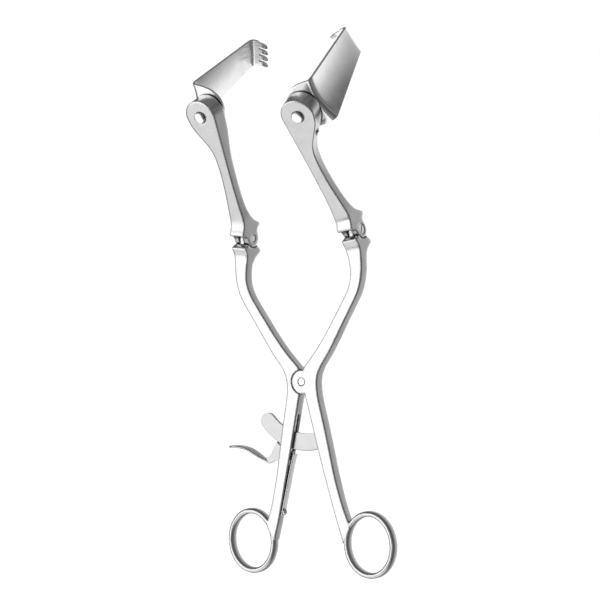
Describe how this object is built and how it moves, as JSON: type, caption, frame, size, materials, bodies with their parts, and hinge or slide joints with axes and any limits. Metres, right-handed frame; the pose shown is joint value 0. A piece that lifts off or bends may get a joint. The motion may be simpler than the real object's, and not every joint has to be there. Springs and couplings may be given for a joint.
{
  "type": "spinal retractor",
  "caption": "Self-retaining surgical retractor with finger rings, ratchet, folding arms and two swivelling toothed blades",
  "frame": {"origin": "middle of the underside of the bounding box, the instrument lying on its back with the blades pointing down and away", "axes": "+Y along the instrument towards the blades, +Z out of its front face, +X to its right seen from the front"},
  "size_m": [0.101, 0.2738, 0.0672],
  "materials": {
    "satin_steel": "satin",
    "polished_steel": "polished",
    "spring_steel": "dull"
  },
  "bodies": {
    "left_half": {"left_frame": "satin_steel", "pivot_screw": "polished_steel", "lever_pin": "satin_steel", "leaf_spring": "polished_steel", "spring_screw": "polished_steel"},
    "right_half": {"right_frame": "satin_steel", "ratchet_rack": "satin_steel", "rack_rivet_upper": "satin_steel", "rack_rivet_lower": "satin_steel"},
    "left_arm": {"left_arm": "satin_steel", "left_hinge_screw": "polished_steel", "left_catch_ball": "polished_steel", "left_catch_spring": "spring_steel", "left_catch_screw": "spring_steel"},
    "right_arm": {"right_arm": "satin_steel", "right_hinge_screw": "polished_steel", "right_catch_ball": "polished_steel", "right_catch_spring": "spring_steel", "right_catch_screw": "spring_steel"},
    "left_blade": {"left_blade": "polished_steel", "left_blade_stud": "polished_steel"},
    "right_blade": {"right_blade": "polished_steel", "right_blade_stud": "polished_steel"},
    "release_lever": {"release_lever": "satin_steel"}
  },
  "joints": [
    {"name": "frame_pivot", "type": "hinge", "parent": "left_half", "child": "right_half", "pos_m": [0, -0.03977, 0.01814], "axis": [0, 0, 1], "range_deg": [-20, 15]},
    {"name": "left_arm_fold", "type": "hinge", "parent": "left_half", "child": "left_arm", "pos_m": [-0.0331, 0.03423, 0.01729], "axis": [0.9921, -0.1253, 0], "range_deg": [-88, 34]},
    {"name": "left_blade_swivel", "type": "hinge", "parent": "left_arm", "child": "left_blade", "pos_m": [-0.03166, 0.09745, 0.04553], "axis": [-0.0588, -0.4658, 0.8829], "continuous": true},
    {"name": "right_arm_fold", "type": "hinge", "parent": "right_half", "child": "right_arm", "pos_m": [0.0331, 0.03423, 0.01729], "axis": [0.9921, 0.1253, 0], "range_deg": [-97, 25]},
    {"name": "right_blade_swivel", "type": "hinge", "parent": "right_arm", "child": "right_blade", "pos_m": [0.03232, 0.0923, 0.05502], "axis": [0.0754, -0.5971, 0.7986], "continuous": true},
    {"name": "release_lever", "type": "hinge", "parent": "left_half", "child": "release_lever", "pos_m": [-0.0129, -0.07727, 0.01814], "axis": [0, 0, 1], "range_deg": [0, 12], "stiffness_Nm_per_rad": 0.4, "springref_deg": -5.73, "deforming": ["leaf_spring"]}
  ]
}
